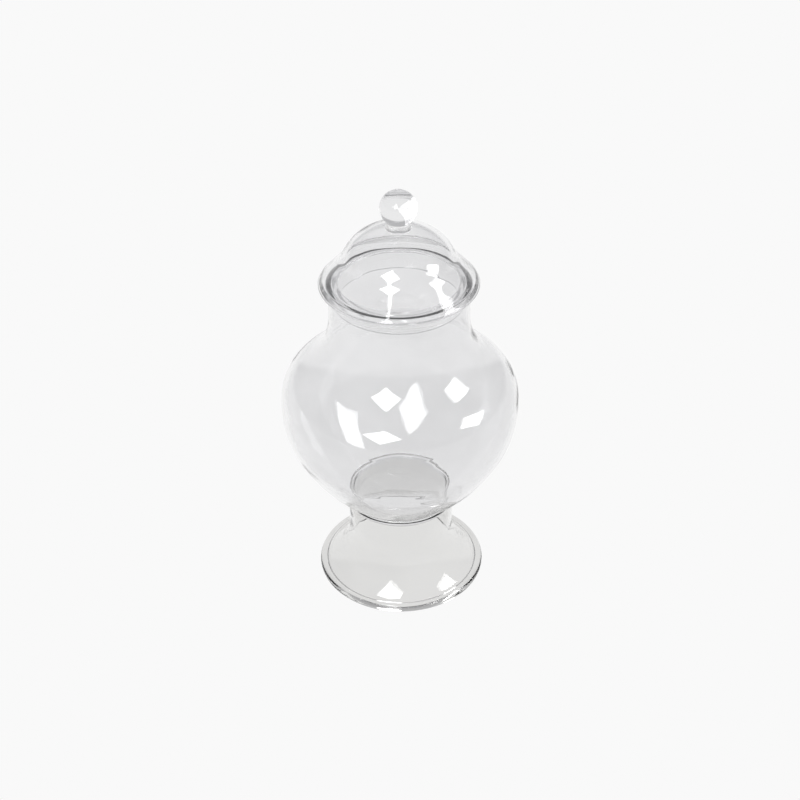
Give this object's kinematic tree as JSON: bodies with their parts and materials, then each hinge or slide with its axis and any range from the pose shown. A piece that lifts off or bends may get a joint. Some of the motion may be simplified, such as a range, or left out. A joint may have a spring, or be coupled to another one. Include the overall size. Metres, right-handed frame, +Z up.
{
  "type": "glass apothecary jar with lid",
  "caption": "Clear glass jar with an onion-shaped bowl on a hollow flared foot, and a domed lift-off lid with a ball knob and a collar that sits in the mouth.",
  "frame": {"origin": "centre of the circle that the foot stands on, at the height of the surface under it", "axes": "+Z up along the jar's axis of revolution; +X and +Y are any two level directions at right angles"},
  "size_m": [0.1844, 0.1844, 0.3435],
  "materials": {
    "blown_glass": "clear blown soda-lime glass, polished",
    "foot_glass": "clear blown soda-lime glass, thicker at the rolled rim",
    "lid_glass": "clear blown soda-lime glass, polished",
    "knob_glass": "solid clear glass, fire-polished"
  },
  "bodies": {
    "jar": {"foot": "foot_glass", "joint_ring": "foot_glass", "bowl": "blown_glass"},
    "lid": {"lid_shell": "lid_glass", "lid_collar": "lid_glass", "knob": "knob_glass"}
  },
  "joints": [
    {"name": "lid_lift", "type": "slide", "parent": "jar", "child": "lid", "axis": [0, 0, 1], "range_m": [0, 0.12]}
  ]
}
